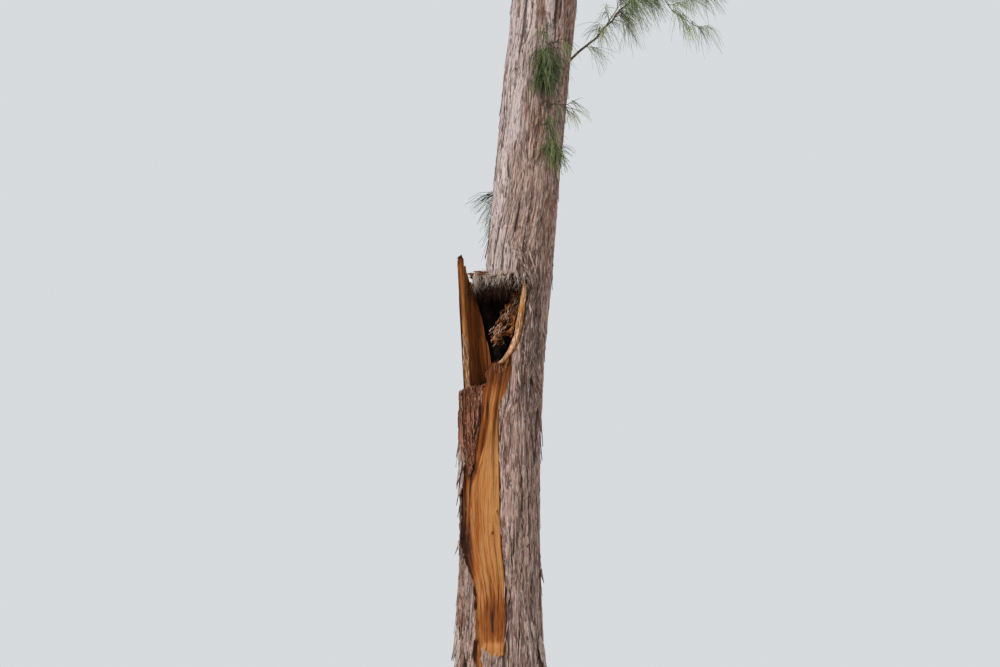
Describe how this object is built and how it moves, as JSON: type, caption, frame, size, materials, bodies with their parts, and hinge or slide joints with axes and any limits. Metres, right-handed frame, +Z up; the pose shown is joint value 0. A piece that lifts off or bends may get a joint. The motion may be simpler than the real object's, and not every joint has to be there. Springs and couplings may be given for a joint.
{
  "type": "dead ironwood tree",
  "caption": "Tall storm-broken ironwood, mostly dead: a torn-out stem left a hollow, a standing shard and a long bare strip under a thin crown of bare twigs and a few green tufts.",
  "frame": {"origin": "centre of the flat cut under the trunk, at ground level", "axes": "+Z up the trunk, -Y out of the wound's face, +X to the side that the standing stem leans to"},
  "size_m": [5.7282, 4.9047, 13.9544],
  "materials": {
    "bark": "rough, fibrous and peeling",
    "torn_wood": "rough, torn along the grain",
    "dead_twigs": "dry and matt",
    "green_needles": "satin",
    "rusty_needles": "dry and matt"
  },
  "bodies": {
    "root": {"trunk": "bark", "torn_shard": "torn_wood", "bough_01": "bark", "bough_02": "bark", "bough_03": "bark", "bough_04": "bark", "bough_05": "bark", "bough_06": "bark", "bough_07": "bark", "bough_08": "bark", "bough_09": "bark", "bough_10": "bark", "bough_11": "bark", "bough_12": "bark", "bough_13": "bark", "bough_14": "bark", "bough_15": "bark", "fork_01": "bark", "fork_02": "bark", "fork_03": "bark", "fork_04": "bark", "tuft_front_upper": "green_needles", "tuft_front_lower": "green_needles", "shoot_right": "green_needles", "tuft_back": "green_needles", "tuft_left_high": "green_needles", "tuft_front_high": "green_needles", "tuft_back_high": "green_needles", "tuft_top": "green_needles", "bare_twigs_bough_01": "dead_twigs", "green_mass_bough_02": "green_needles", "bare_twigs_bough_03": "dead_twigs", "tuft_on_bough_04": "green_needles", "rusty_mass_bough_05": "rusty_needles", "green_mass_bough_06": "green_needles", "bare_twigs_bough_07": "dead_twigs", "bare_twigs_bough_08": "dead_twigs", "tuft_on_bough_09": "green_needles", "green_mass_bough_10": "green_needles", "bare_twigs_bough_11": "dead_twigs", "tuft_on_bough_12": "green_needles", "bare_twigs_bough_13": "dead_twigs", "bare_twigs_bough_14": "dead_twigs", "bare_twigs_bough_15": "dead_twigs", "bare_twigs_fork_01": "dead_twigs", "bare_twigs_fork_02": "dead_twigs", "green_mass_fork_03": "green_needles", "bare_twigs_fork_04": "dead_twigs"}
  },
  "joints": []
}
